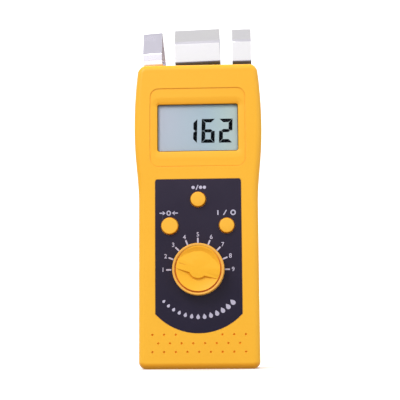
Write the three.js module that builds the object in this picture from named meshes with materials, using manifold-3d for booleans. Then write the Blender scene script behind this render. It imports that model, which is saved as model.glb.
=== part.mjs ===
// Handheld moisture meter: a two-shell case with a display, three push buttons, a nine-position
// selector knob and three sprung strip electrodes on its head.
// Millimetres, +Z up, +X to the right of the front face, +Y to the back. The origin is the middle of
// the flat foot of the case, half way between its front and back faces.
import * as THREE from "three";
import { mergeVertices } from "three/addons/utils/BufferGeometryUtils.js";
import Module from "manifold-3d";

const wasm = await Module();
wasm.setup();

// ---------------------------------------------------------------- driving dimensions
const CASE = {
  height: 143.6,
  depth: 27,
  halfGrip: 28.05, // half width of the straight lower part
  halfHead: 30.2, // half width at the widest point of the head
  halfShoulder: 28.65, // half width where the top corners begin
  gripTop: 76, // height where the sides start to swell
  headMiddle: 113,
  shoulder: 139.6,
  footRadius: 3.5,
  edge: 3, // rounding of the front and back edges
  wall: 2.2,
  parting: 2, // the shells meet on this plane
};
const FRONT = -CASE.depth / 2;
const BACK = CASE.depth / 2;
const INNER_FRONT = FRONT + CASE.wall;
const INNER_BACK = BACK - CASE.wall;
const GAP = 0.3; // between pieces that nearly touch
const SEAM = 0.3; // open line between the two shells

const WINDOW = { half: 19.15, low: 101.45, high: 124.15, radius: 0.8 };
const PLATE = { half: 22.5, low: 94, high: 131.7, radius: 4, depth: 0.4 };
const FUNNEL = { size: 3.6, depth: 0.9 };
const LABEL = {
  half: 20.25,
  low: 25.05, // where the straight sides meet the curved bottom edge
  high: 88.2,
  tip: 16.2,
  radius: 1.2,
  thick: 0.27,
  recess: 0.35,
};

const BUTTON = { proud: 1.6, flange: 1.2, flangeThick: 0.7, play: 0.25, stroke: 0.4 };
const BUTTONS = [
  { name: "single_double", x: 0, z: 78.35, radius: 3.45 },
  { name: "zero", x: -13.3, z: 66, radius: 3.85 },
  { name: "power", x: 13.3, z: 66, radius: 3.45 },
];

const KNOB = { z: 45.6, base: 12.1, face: 11.9, height: 5.2, lean: 14 };
const GROOVE = { outer: 10.95, inner: 10.45, depth: 1.1 }; // just inside the rim of the knob's face
const DISH = { radius: 10.1, depth: 2 }; // hollowed out of the knob's face, on both sides of the grip
const ROTOR = { radius: 8.5, notches: 16, notchDepth: 0.5, thick: 1.1, hub: 4.4 };

const BOARD = { front: -8.3, thick: 1.6, half: 24.3, low: 5, high: 132 };
const BOARD_BACK = BOARD.front + BOARD.thick;

const STRIP = 0.6; // electrode sheet thickness
const LOOP = { tail: 1.2, halfDepth: 7.2, neck: 144.6, pivot: 146.2 };
// foot, heel and heelIn shape the lowest bend. turn and lean are how far, in degrees, the loop
// has been pushed askew above the case.
const ELECTRODES = [
  {
    name: "left",
    x: -21.3,
    width: 9.1,
    foot: 145.45,
    heel: 1.7,
    heelIn: 0.45,
    shoulder: 150.3,
    apex: 163.3,
    turn: 4,
    lean: 3,
    screws: [0],
  },
  {
    name: "center",
    x: 0,
    width: 21.7,
    foot: 146.2,
    heel: 1,
    heelIn: 0.25,
    shoulder: 155.6,
    apex: 164.3,
    turn: 0,
    lean: 1.6,
    screws: [-6, 6],
  },
  {
    name: "right",
    x: 21.3,
    width: 9.1,
    foot: 146.2,
    heel: 1,
    heelIn: 0.25,
    shoulder: 156.2,
    apex: 164.1,
    turn: 0,
    lean: 0.5,
    screws: [0],
  },
];
const ELECTRODE_SLOT = 5.2; // half the depth of the openings over the electrode block
const BLOCK = { half: 26, low: 133.2, high: 140.4, halfDepth: 5.5 };

const BAY = { half: 14.5, low: 5.6, high: 59.2, wall: 1.2, front: -6.1 };
const DOOR = { half: 13.9, low: 5.9, high: 57.1, front: 11.4, pin: 0.7, pinHole: 0.78, pinEnd: 15 };
const DOOR_AXIS = { y: (DOOR.front + BACK) / 2, z: DOOR.low + (BACK - DOOR.front) / 2 };
const BATTERY = { half: 13.2, low: 6.2, high: 52.1, front: -6.4, back: 11 };

const CASE_SCREWS = [[-23.5, 129.2], [23.5, 129.2], [-21.5, 11], [21.5, 11]];
const BOARD_SCREWS = [[-20.5, 92.5], [20.5, 92.5], [-20.5, 33], [20.5, 33]];
const BLOCK_SCREWS = [[-13.9, 136.8], [13.9, 136.8]];

const COLOUR = {
  yellow: 0xfcba46,
  key: 0xfdbb48,
  navy: 0x33303f,
  clear: 0xdfe8ee,
  display: 0xaebfcf,
  black: 0x1c1c1e,
  rubber: 0x2a2a2c,
  board: 0x1f6b3a,
  steel: 0xc9c9cc,
  brass: 0xc9a24b,
  red: 0xb3261e,
  copper: 0xb87333,
  blue: 0x2c4a7c,
  cream: 0xe8e2d0,
};

// ---------------------------------------------------------------- solids and booleans
// A closed three.js geometry as a manifold-3d solid.
function solid(geometry) {
  const bare = geometry.clone();
  bare.deleteAttribute("normal");
  bare.deleteAttribute("uv");
  const merged = mergeVertices(bare, 1e-4);
  return new wasm.Manifold(
    new wasm.Mesh({
      numProp: 3,
      vertProperties: new Float32Array(merged.attributes.position.array),
      triVerts: new Uint32Array(merged.index.array),
    }),
  );
}

// The solid as a three.js geometry again.
function geometryOf(made) {
  const mesh = made.getMesh();
  return new THREE.BufferGeometry()
    .setAttribute("position", new THREE.BufferAttribute(mesh.vertProperties, 3))
    .setIndex(new THREE.BufferAttribute(mesh.triVerts, 1));
}

const join = (first, ...rest) => rest.reduce((all, one) => all.add(one), first);
const cut = (first, ...rest) => rest.reduce((all, one) => all.subtract(one), first);

// A front-view outline (x, z) as a slab between two y planes.
function slab(shape, yFront, yBack, curveSegments = 6) {
  const depth = yBack - yFront;
  const geometry = new THREE.ExtrudeGeometry(shape, { depth, bevelEnabled: false, curveSegments });
  return solid(geometry.rotateX(Math.PI / 2).translate(0, yBack, 0));
}

// The same with its front and back edges rounded outwards by round.
function pillow(shape, yFront, yBack, round, curveSegments = 6, bevelSegments = 4) {
  const geometry = new THREE.ExtrudeGeometry(shape, {
    depth: yBack - yFront - 2 * round,
    bevelThickness: round,
    bevelSize: round,
    bevelSegments,
    curveSegments,
  });
  return solid(geometry.rotateX(Math.PI / 2).translate(0, yBack - round, 0));
}

// A side-view outline (y, z) as a bar between two x planes.
function bar(shape, xLow, xHigh, curveSegments = 6) {
  const depth = xHigh - xLow;
  const geometry = new THREE.ExtrudeGeometry(shape, { depth, bevelEnabled: false, curveSegments });
  const turn = new THREE.Matrix4().makeBasis(
    new THREE.Vector3(0, 1, 0),
    new THREE.Vector3(0, 0, 1),
    new THREE.Vector3(1, 0, 0),
  );
  return solid(geometry.applyMatrix4(turn).translate(xLow, 0, 0));
}

function box(x0, x1, y0, y1, z0, z1) {
  const geometry = new THREE.BoxGeometry(x1 - x0, y1 - y0, z1 - z0);
  return solid(geometry.translate((x0 + x1) / 2, (y0 + y1) / 2, (z0 + z1) / 2));
}

// A round rod along Y, from the front plane to the back plane, with its own radius at each end.
function rod(x, z, radius, yFront, yBack, segments = 16, frontRadius = radius) {
  const geometry = new THREE.CylinderGeometry(radius, frontRadius, yBack - yFront, segments);
  return solid(geometry.translate(x, (yFront + yBack) / 2, z));
}

function roundedRect(x0, x1, z0, z1, radius) {
  const shape = new THREE.Shape();
  shape.moveTo(x0 + radius, z0);
  shape.lineTo(x1 - radius, z0);
  shape.absarc(x1 - radius, z0 + radius, radius, -Math.PI / 2, 0);
  shape.lineTo(x1, z1 - radius);
  shape.absarc(x1 - radius, z1 - radius, radius, 0, Math.PI / 2);
  shape.lineTo(x0 + radius, z1);
  shape.absarc(x0 + radius, z1 - radius, radius, Math.PI / 2, Math.PI);
  shape.lineTo(x0, z0 + radius);
  shape.absarc(x0 + radius, z0 + radius, radius, Math.PI, 1.5 * Math.PI);
  return shape;
}

// A wire of round section along a smooth line through the given points.
function wire(points, radius, steps) {
  const section = new THREE.Shape().absarc(0, 0, radius, 0, 2 * Math.PI);
  const path = new THREE.CatmullRomCurve3(points.map((p) => new THREE.Vector3(...p)));
  return solid(new THREE.ExtrudeGeometry(section, { steps, extrudePath: path, curveSegments: 4 }));
}

// ---------------------------------------------------------------- the case
// The case seen from the front, moved inwards by inset.
function caseOutline(inset) {
  const grip = CASE.halfGrip - inset;
  const head = CASE.halfHead - inset;
  const shoulder = CASE.halfShoulder - inset;
  const top = CASE.height - inset;
  const foot = CASE.footRadius - inset;
  const corner = Math.max(CASE.height - CASE.shoulder - inset, 0.4);
  const shape = new THREE.Shape();
  shape.moveTo(-grip + foot, inset);
  shape.lineTo(grip - foot, inset);
  shape.absarc(grip - foot, inset + foot, foot, -Math.PI / 2, 0);
  shape.lineTo(grip, CASE.gripTop);
  shape.bezierCurveTo(grip, 90, head, 97, head, CASE.headMiddle);
  shape.bezierCurveTo(head, 124, shoulder + 0.85, 133, shoulder, top - corner);
  shape.quadraticCurveTo(shoulder - 0.5, top, shoulder - corner, top);
  shape.lineTo(-shoulder + corner, top);
  shape.quadraticCurveTo(-shoulder + 0.5, top, -shoulder, top - corner);
  shape.bezierCurveTo(-shoulder - 0.85, 133, -head, 124, -head, CASE.headMiddle);
  shape.bezierCurveTo(-head, 97, -grip, 90, -grip, CASE.gripTop);
  shape.lineTo(-grip, inset + foot);
  shape.absarc(-grip + foot, inset + foot, foot, Math.PI, 1.5 * Math.PI);
  return shape;
}

const outerBody = pillow(caseOutline(CASE.edge), FRONT, BACK, CASE.edge, 5, 4);
const cavity = pillow(caseOutline(CASE.wall + 1), INNER_FRONT, INNER_BACK, 1, 4, 1);
const everywhere = 100;

// The half of a solid in front of a y plane, and the half behind it.
const inFront = (made, y) => made.intersect(box(-everywhere, everywhere, -everywhere, y, -9, 190));
const behind = (made, y) => made.intersect(box(-everywhere, everywhere, y, everywhere, -9, 190));

// The tongue of the front shell stands inside the rear shell across the seam.
const tongueDepth = 1.4;
const tongueSkin = 1.3; // from the outer face to the tongue
function seamBand(skin, yFront, yBack) {
  return cut(
    slab(caseOutline(skin), yFront, yBack, 5),
    slab(caseOutline(CASE.wall), yFront - 1, yBack + 1, 5),
  );
}

function labelOutline(inset) {
  const half = LABEL.half - inset;
  const sag = LABEL.low - LABEL.tip;
  const radius = (half * half + sag * sag) / (2 * sag);
  const reach = Math.asin(half / radius);
  const shape = new THREE.Shape();
  shape.moveTo(-half, LABEL.low);
  shape.absarc(0, LABEL.tip + inset + radius, radius, 1.5 * Math.PI - reach, 1.5 * Math.PI + reach);
  shape.lineTo(half, LABEL.high - inset - LABEL.radius);
  const middle = [half - LABEL.radius, LABEL.high - inset - LABEL.radius];
  shape.absarc(...middle, LABEL.radius, 0, Math.PI / 2);
  shape.lineTo(-half + LABEL.radius, LABEL.high - inset);
  shape.absarc(-middle[0], middle[1], LABEL.radius, Math.PI / 2, Math.PI);
  return shape;
}

// The places of the small grip dimples below the label: rows of nine, eight and six.
function dimplePlaces() {
  const pitch = 5.38;
  const places = [];
  for (let i = -4; i <= 4; i++) {
    places.push([i * pitch, 7.8]);
    if (Math.abs(i) >= 2) places.push([i * pitch, 15.7]);
    if (i < 4) places.push([(i + 0.5) * pitch, 11.75]);
  }
  return places;
}

function displayCutouts() {
  const opening = roundedRect(-WINDOW.half, WINDOW.half, WINDOW.low, WINDOW.high, WINDOW.radius);
  const plate = roundedRect(-PLATE.half, PLATE.half, PLATE.low, PLATE.high, PLATE.radius);
  const funnelFloor = FRONT + FUNNEL.depth;
  const flare = new THREE.ExtrudeGeometry(opening, {
    depth: 2,
    bevelThickness: FUNNEL.depth - PLATE.depth,
    bevelSize: FUNNEL.size,
    bevelSegments: 1,
    curveSegments: 4,
  });
  flare.rotateX(Math.PI / 2).translate(0, funnelFloor - (FUNNEL.depth - PLATE.depth), 0);
  return [
    slab(opening, FRONT - 1, INNER_FRONT + 1, 4),
    slab(plate, FRONT - 1, FRONT + PLATE.depth, 6),
    solid(flare),
    box(-20.2, 20.2, INNER_FRONT - 0.8, INNER_FRONT + 1, 99.3, 125.9),
  ];
}

function electrodeSlots() {
  return ELECTRODES.map(({ x, width }) => {
    const half = width / 2 + 0.5;
    const low = CASE.height - CASE.wall - 2;
    return box(x - half, x + half, -ELECTRODE_SLOT, ELECTRODE_SLOT, low, CASE.height + 1);
  });
}

// Posts that stand on the inside of the front wall, each with a pilot hole for its screw.
function frontPosts() {
  const places = [
    ...CASE_SCREWS.map(([x, z]) => ({ x, z, radius: 2.4, end: 1.4, hole: 1.6 })),
    ...BOARD_SCREWS.map(([x, z]) => ({ x, z, radius: 2.2, end: BOARD.front - GAP, hole: 1.2 })),
    ...BLOCK_SCREWS.map(([x, z]) => ({ x, z, radius: 2.4, end: -BLOCK.halfDepth - GAP, hole: 1.55 })),
  ];
  return {
    posts: places.map((p) => rod(p.x, p.z, p.radius, INNER_FRONT - 0.5, p.end, 12)),
    holes: places.map((p) => rod(p.x, p.z, p.hole, INNER_FRONT, p.end + 1, 10)),
  };
}

function frontCase() {
  const shell = inFront(cut(outerBody, cavity), CASE.parting - SEAM / 2);
  const tongue = seamBand(tongueSkin, CASE.parting - SEAM / 2 - 0.5, CASE.parting + tongueDepth);
  const { posts, holes } = frontPosts();
  const buttonHoles = BUTTONS.map(({ x, z, radius }) => {
    return rod(x, z, radius + BUTTON.play, FRONT - 1, INNER_FRONT + 1, 24);
  });
  const dimples = dimplePlaces().map(([x, z]) => rod(x, z, 0.2, FRONT - 0.1, FRONT + 0.7, 6, 0.55));
  return cut(
    join(shell, tongue, ...posts),
    ...holes,
    ...buttonHoles,
    ...dimples,
    ...displayCutouts(),
    ...electrodeSlots(),
    slab(labelOutline(0), FRONT - 1, FRONT + LABEL.recess, 8),
    rod(0, KNOB.z, ROTOR.hub + 0.4, FRONT - 1, INNER_FRONT + 1, 24),
  );
}

const SCREW_SEAT = 6; // y of the shoulder under a case screw's head

function batteryBay() {
  const { half, low, high, wall, front } = BAY;
  const outside = box(-half - wall, half + wall, front, INNER_BACK + 0.5, low - wall, high + wall);
  const inside = box(-half, half, front - 1, INNER_BACK + 1, low, high);
  const leadNotch = box(6, 12, front - 1, 2, high - 1, high + wall + 1);
  return cut(outside, inside, leadNotch);
}

function rearCase() {
  const shell = behind(cut(outerBody, cavity), CASE.parting + SEAM / 2);
  const rebate = seamBand(tongueSkin - GAP, CASE.parting - 1, CASE.parting + tongueDepth + GAP);
  const towers = CASE_SCREWS.map(([x, z]) => rod(x, z, 3.6, CASE.parting + 0.2, INNER_BACK + 0.5, 16));
  const wells = CASE_SCREWS.map(([x, z]) => rod(x, z, 2.9, SCREW_SEAT, BACK + 1, 20));
  const holes = CASE_SCREWS.map(([x, z]) => rod(x, z, 1.6, CASE.parting - 1, SCREW_SEAT + 1, 10));
  const { half, low, high } = DOOR;
  const opening = box(-half - GAP, half + GAP, INNER_BACK - 0.5, BACK + 1, low - GAP, high + GAP);
  const pinHole = doorPin(DOOR.pinHole, DOOR.pinEnd + GAP);
  const ledges = [-1, 1].map((side) => {
    const [inner, outer] = [half - 1, BAY.half + 0.2].map((x) => side * x);
    return box(Math.min(inner, outer), Math.max(inner, outer), 9.5, DOOR.front - 0.2, high - 3, high);
  });
  const shellWithRebate = cut(shell, rebate);
  return cut(
    join(cut(join(shellWithRebate, batteryBay(), ...towers), opening, pinHole), ...ledges),
    ...wells,
    ...holes,
    ...electrodeSlots(),
  );
}

// A rod along X on the door's hinge line, as far as end on both sides.
function doorPin(radius, end) {
  const geometry = new THREE.CylinderGeometry(radius, radius, 2 * end, 16);
  return solid(geometry.rotateZ(Math.PI / 2).translate(0, DOOR_AXIS.y, DOOR_AXIS.z));
}

// The door turns on two stub pins at its foot, which is rounded about their line. The latch tongue
// is freed from the plate by two slits, and carries ribs for the thumb.
function batteryDoor() {
  const { half, high, front } = DOOR;
  const side = new THREE.Shape();
  side.moveTo(BACK, high);
  side.lineTo(front, high);
  side.lineTo(front, DOOR_AXIS.z);
  side.absarc(DOOR_AXIS.y, DOOR_AXIS.z, BACK - DOOR_AXIS.y, Math.PI, 2 * Math.PI);
  const plate = join(bar(side, -half, half, 5), doorPin(DOOR.pin, DOOR.pinEnd));
  const slits = [-6, 6].map((x) => box(x - 0.4, x + 0.4, front - 1, BACK + 1, high - 9, high + 1));
  const grips = [0, 1, 2, 3].map((i) => {
    const z = high - 3 - 1.8 * i;
    return box(-4.4, 4.4, BACK - 0.5, BACK + 1, z - 0.45, z + 0.45);
  });
  return cut(plate, ...slits, ...grips);
}

// ---------------------------------------------------------------- fasteners
// A pan-head screw along Y, its head towards the back, with a cross recess.
function screw(x, z, seat, headRadius, headHeight, shankRadius, length) {
  const head = rod(x, z, headRadius * 0.8, seat, seat + headHeight, 12, headRadius);
  const shank = rod(x, z, shankRadius, seat - length, seat + 0.2, 8);
  const blade = headRadius * 0.6;
  const top = seat + headHeight;
  const slots = [
    box(x - blade, x + blade, top - 0.7, top + 1, z - 0.28, z + 0.28),
    box(x - 0.28, x + 0.28, top - 0.7, top + 1, z - blade, z + blade),
  ];
  return cut(join(head, shank), ...slots);
}

// ---------------------------------------------------------------- controls and display
function controlLabel() {
  const sheet = slab(labelOutline(0.15), FRONT + LABEL.recess - 0.03 - LABEL.thick, FRONT + LABEL.recess - 0.03, 8);
  const holes = BUTTONS.map(({ x, z, radius }) => rod(x, z, radius + 0.35, FRONT - 1, FRONT + 1, 24));
  return cut(sheet, ...holes, rod(0, KNOB.z, ROTOR.hub + 0.6, FRONT - 1, FRONT + 1, 24));
}

const SWITCH = { half: 2.6, front: BOARD.front - 1.6, plunger: 1.2 };
const FLANGE_BACK = INNER_FRONT + 0.05 + BUTTON.flangeThick;

function buttonCap({ x, z, radius }) {
  const face = rod(x, z, radius, FRONT - BUTTON.proud, FRONT - BUTTON.proud + 0.5, 24, radius - 0.4);
  const post = rod(x, z, radius, FRONT - BUTTON.proud + 0.5, FLANGE_BACK, 24);
  const flange = rod(x, z, radius + BUTTON.flange, INNER_FRONT + 0.05, FLANGE_BACK, 24);
  return join(face, post, flange);
}

function switchHousing({ x, z }) {
  const { half, front, plunger } = SWITCH;
  const base = box(x - half, x + half, front, BOARD.front - 0.05, z - half, z + half);
  return cut(base, rod(x, z, plunger + GAP, front - 1, front + 1, 12));
}

function switchPlunger({ x, z }) {
  return rod(x, z, SWITCH.plunger, FLANGE_BACK + 0.05, SWITCH.front + 0.55, 12);
}

// The knob's grip seen from the front: a round hub with two arms. The left arm is the pointer.
function gripOutline() {
  const hub = 4.2;
  const arm = 2.35;
  const reach = KNOB.face + 1;
  const bend = Math.asin(arm / hub);
  const shape = new THREE.Shape();
  shape.moveTo(reach, -arm);
  shape.lineTo(reach, arm);
  shape.absarc(0, 0, hub, bend, Math.PI - bend);
  shape.lineTo(-reach, arm - 0.45);
  shape.lineTo(-reach, -arm + 0.45);
  shape.absarc(0, 0, hub, Math.PI + bend, 2 * Math.PI - bend);
  return shape;
}

// The shallow bowl that is cut from the knob's face, as a slice of a large ball.
function dish(face) {
  const { radius, depth } = DISH;
  const ball = (radius * radius + depth * depth) / (2 * depth);
  const middle = face + depth - ball;
  const steps = 6;
  const reach = Math.asin((radius + 0.6) / ball);
  const profile = [new THREE.Vector2(0, face - 1)];
  for (let i = steps; i >= 0; i--) {
    const angle = (reach * i) / steps;
    profile.push(new THREE.Vector2(ball * Math.sin(angle), middle + ball * Math.cos(angle)));
  }
  profile.splice(1, 0, new THREE.Vector2(radius + 0.6, face - 1));
  profile[profile.length - 1].x = 0;
  return solid(new THREE.LatheGeometry(profile, 40));
}

// Built about its own axis: a drum whose face has a groove inside its rim and a bowl crossed by the grip.
function selectorKnob() {
  const back = FRONT - 0.35;
  const face = back - KNOB.height;
  const drum = rod(0, 0, KNOB.base, face, back, 48, KNOB.face);
  const hub = rod(0, 0, ROTOR.hub, back - 0.2, INNER_FRONT + GAP, 24);
  const ring = cut(
    rod(0, 0, GROOVE.outer, face - 1, face + GROOVE.depth, 48),
    rod(0, 0, GROOVE.inner, face - 2, face + GROOVE.depth + 1, 48),
  );
  const grip = slab(gripOutline(), face - 2, face + DISH.depth + 1, 8);
  const pilot = rod(0, 0, 1.3, face + 1.8, INNER_FRONT + 1, 10);
  return cut(join(drum, hub), ring, cut(dish(face), grip), pilot);
}

// The notched disc that turns with the knob behind the front wall.
function selectorRotor() {
  const shape = new THREE.Shape();
  const steps = ROTOR.notches * 4;
  for (let i = 0; i < steps; i++) {
    const angle = (2 * Math.PI * i) / steps;
    const radius = ROTOR.radius - (ROTOR.notchDepth * (1 + Math.cos(angle * ROTOR.notches))) / 2;
    shape[i ? "lineTo" : "moveTo"](radius * Math.cos(angle), radius * Math.sin(angle));
  }
  shape.closePath();
  const front = INNER_FRONT + GAP + 0.05;
  return cut(slab(shape, front, front + ROTOR.thick), rod(0, 0, 1.5, front - 1, front + 2, 12));
}

const ROTOR_BACK = INNER_FRONT + GAP + 0.05 + ROTOR.thick;

// The sprung contact that bridges the tracks of the board as the rotor turns.
function wiperContact() {
  const back = BOARD.front - 0.1;
  const front = ROTOR_BACK + 0.05;
  const outline = new THREE.Shape([
    new THREE.Vector2(front, 3.6),
    new THREE.Vector2(front, 5.6),
    new THREE.Vector2(back - 0.25, 7),
    new THREE.Vector2(back - 0.25, 7.6),
    new THREE.Vector2(back, 7.6),
    new THREE.Vector2(back, 6.8),
    new THREE.Vector2(front + 0.25, 5.4),
    new THREE.Vector2(front + 0.25, 3.6),
  ]);
  return bar(outline, -1.6, 1.6);
}

// A bent leaf beside the rotor, fixed to the front wall, whose nose clicks into the notches.
function detentSpring() {
  const nose = ROTOR.radius + 0.25;
  const leaf = new THREE.Shape([
    new THREE.Vector2(nose + 1.6, -7),
    new THREE.Vector2(nose + 2, -7),
    new THREE.Vector2(nose + 1.6, -2),
    new THREE.Vector2(nose + 0.45, 0),
    new THREE.Vector2(nose + 1.6, 2),
    new THREE.Vector2(nose + 2, 7),
    new THREE.Vector2(nose + 1.6, 7),
    new THREE.Vector2(nose + 1.2, 2),
    new THREE.Vector2(nose, 0),
    new THREE.Vector2(nose + 1.2, -2),
  ]);
  return slab(leaf, INNER_FRONT + 0.4, INNER_FRONT + 1.6).translate([0, 0, KNOB.z]);
}

function lcdFrame() {
  const [front, back] = [-11, BOARD.front - 0.1];
  return cut(
    slab(roundedRect(-21.5, 21.5, 97.6, 127.4, 1), front, back, 3),
    box(-20.4, 20.4, front - 1, back + 1, 98.5, 126.5),
  );
}

// ---------------------------------------------------------------- board
function mainBoard() {
  const sheet = slab(roundedRect(-BOARD.half, BOARD.half, BOARD.low, BOARD.high, 1), BOARD.front, BOARD_BACK, 3);
  const notches = CASE_SCREWS.map(([x, z]) => rod(x, z, 2.8, BOARD.front - 1, BOARD_BACK + 1, 16));
  const holes = BOARD_SCREWS.map(([x, z]) => rod(x, z, 1.2, BOARD.front - 1, BOARD_BACK + 1, 12));
  const access = rod(0, KNOB.z, 3, BOARD.front - 1, BOARD_BACK + 1, 16);
  return cut(sheet, ...notches, ...holes, access);
}

// ---------------------------------------------------------------- electrodes
// Half of the loop's middle line, from the end of the tail up to the apex, as (y, z) points.
function loopLine({ foot, heel, heelIn, shoulder, apex }) {
  return [
    [LOOP.tail, BLOCK.low - 0.6],
    [LOOP.tail, LOOP.neck - 0.7],
    [LOOP.tail + 0.6, LOOP.neck],
    [LOOP.halfDepth - heelIn - 0.95, foot - 0.5],
    [LOOP.halfDepth - heelIn, foot + 0.2],
    [LOOP.halfDepth, foot + 0.2 + heel],
    [LOOP.halfDepth - 0.2, shoulder - 1],
    [LOOP.halfDepth - 0.7, shoulder + 0.3],
    [1.7, apex - STRIP / 2 - 1.1],
    [0.8, apex - STRIP / 2 - 0.25],
    [0, apex - STRIP / 2],
  ];
}

// The line thickened to a strip: one side forwards, the other back.
function stripOutline(half) {
  const line = [
    ...half.map(([y, z]) => new THREE.Vector2(-y, z)),
    ...half.slice(0, -1).reverse().map(([y, z]) => new THREE.Vector2(y, z)),
  ];
  const sides = [1, -1].map((side) => {
    return line.map((point, i) => {
      const before = line[Math.max(i - 1, 0)];
      const after = line[Math.min(i + 1, line.length - 1)];
      const into = point.clone().sub(before).normalize();
      const out = after.clone().sub(point).normalize();
      const along = into.add(out).normalize();
      const lean = Math.max(Math.abs(along.dot(out.lengthSq() ? out : along)), 0.6);
      const reach = (side * STRIP) / 2 / lean;
      return new THREE.Vector2(point.x - along.y * reach, point.y + along.x * reach);
    });
  });
  return new THREE.Shape([...sides[0], ...sides[1].reverse()]);
}

const CLAMP_Z = 136.8;

// Turns a loop about its own middle and leans it sideways, from the case's top upwards.
function askew(loop, { x: middle, turn, lean }) {
  return loop.warp((point) => {
    const share = THREE.MathUtils.smoothstep(point[2], CASE.height + 0.3, LOOP.pivot);
    const [a, b] = [turn, lean].map((angle) => THREE.MathUtils.degToRad(angle * share));
    const along = (point[0] - middle) * Math.cos(a) + point[1] * Math.sin(a);
    const up = point[2] - LOOP.pivot;
    point[1] = point[1] * Math.cos(a) - (point[0] - middle) * Math.sin(a);
    point[0] = middle + along * Math.cos(b) - up * Math.sin(b);
    point[2] = LOOP.pivot + along * Math.sin(b) + up * Math.cos(b);
  });
}

function electrode(e) {
  const strip = askew(bar(stripOutline(loopLine(e)), e.x - e.width / 2, e.x + e.width / 2), e);
  const holes = e.screws.map((dx) => rod(e.x + dx, CLAMP_Z, 1.6, -4, 4, 12));
  return cut(strip, ...holes);
}

function electrodeBlock() {
  const { half, low, high, halfDepth } = BLOCK;
  const body = slab(roundedRect(-half, half, low, high, 1), -halfDepth, halfDepth, 3);
  const slots = ELECTRODES.map(({ x, width }) => {
    const side = width / 2 + GAP;
    return box(x - side, x + side, -LOOP.tail - 0.6, LOOP.tail + 0.6, low - 1, high + 1);
  });
  const clampHoles = ELECTRODES.flatMap(({ x, screws }) => {
    return screws.map((dx) => rod(x + dx, CLAMP_Z, 1.55, -halfDepth + 1.2, halfDepth + 1, 10));
  });
  const fixings = BLOCK_SCREWS.map(([x, z]) => rod(x, z, 1.55, -halfDepth - 1, halfDepth + 1, 10));
  return cut(body, ...slots, ...clampHoles, ...fixings);
}

// ---------------------------------------------------------------- battery
const TERMINALS = [
  { name: "positive", x: -6.4, radius: 2.8, sides: 16 },
  { name: "negative", x: 6.4, radius: 4, sides: 6 },
];
const BATTERY_Y = (BATTERY.front + BATTERY.back) / 2;

function battery() {
  const { half, low, high, front, back } = BATTERY;
  const shape = roundedRect(-half + 0.5, half - 0.5, low + 0.5, high - 0.5, 1.2);
  return pillow(shape, front, back, 0.5, 3, 2);
}

function uprightRod(x, y, radius, low, high, sides) {
  const geometry = new THREE.CylinderGeometry(radius, radius, high - low, sides);
  return solid(geometry.rotateX(Math.PI / 2).translate(x, y, (low + high) / 2));
}

function batterySnap() {
  const low = BATTERY.high + 2.8;
  return box(-12.4, 12.4, BATTERY_Y - 6, BATTERY_Y + 6, low, low + 1.6);
}

// ---------------------------------------------------------------- the assembly
const meter = new THREE.Group();
meter.name = "moisture_meter";

function add(name, made, colour, roughness = 0.5, metalness = 0) {
  const material = new THREE.MeshStandardMaterial({ color: colour, roughness, metalness });
  const mesh = new THREE.Mesh(geometryOf(made), material);
  mesh.name = name;
  meter.add(mesh);
  return mesh;
}

add("front_case", frontCase(), COLOUR.yellow, 0.5);
add("rear_case", rearCase(), COLOUR.yellow, 0.5);
add("battery_door", batteryDoor(), COLOUR.yellow, 0.5);
add("control_label", controlLabel(), COLOUR.navy, 0.45);

add("display_window", box(-20, 20, -12.05, -11.05, 99.5, 125.7), COLOUR.clear, 0.1);
add("lcd_panel", box(-20.1, 20.1, -10.95, -9.35, 98.8, 126.2), COLOUR.display, 0.3);
add("lcd_frame", lcdFrame(), COLOUR.black);
add("zebra_strip_upper", box(-18, 18, -9.3, BOARD.front - 0.05, 123.8, 125.8), COLOUR.rubber, 0.9);
add("zebra_strip_lower", box(-18, 18, -9.3, BOARD.front - 0.05, 99.2, 101.2), COLOUR.rubber, 0.9);

for (const button of BUTTONS) {
  add(`${button.name}_button`, buttonCap(button), COLOUR.key, 0.45);
  add(`${button.name}_plunger`, switchPlunger(button), COLOUR.cream);
  add(`${button.name}_switch`, switchHousing(button), COLOUR.black);
}

// The knob and what turns with it stand at the angle where the pointer rests.
const turning = new THREE.Group();
turning.position.set(0, 0, KNOB.z);
turning.rotation.y = THREE.MathUtils.degToRad(KNOB.lean);
meter.add(turning);
turning.add(add("selector_knob", selectorKnob(), COLOUR.key, 0.45));
turning.add(add("selector_rotor", selectorRotor(), COLOUR.cream));
turning.add(add("wiper_contact", wiperContact(), COLOUR.brass, 0.3, 1));
turning.add(add("rotor_screw", screw(0, 0, ROTOR_BACK + 0.05, 2.2, 1.2, 1, 7), COLOUR.steel, 0.3, 1));
add("detent_spring", detentSpring(), COLOUR.steel, 0.3, 1);

add("main_board", mainBoard(), COLOUR.board, 0.6);
add("main_chip", box(-6, 6, BOARD_BACK + 0.05, BOARD_BACK + 1.6, 68, 80), COLOUR.black);
add("crystal", pillow(roundedRect(9, 17, 70, 73, 1), BOARD_BACK + 0.05, BOARD_BACK + 3.2, 0.4, 3, 1), COLOUR.steel, 0.3, 1);
add("oscillator_coil", rod(-13, 118, 4, BOARD_BACK + 0.05, BOARD_BACK + 6, 20), COLOUR.copper, 0.4, 1);
add("storage_capacitor", rod(11, 88, 3.2, BOARD_BACK + 0.05, BOARD_BACK + 8, 20), COLOUR.blue);

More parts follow.
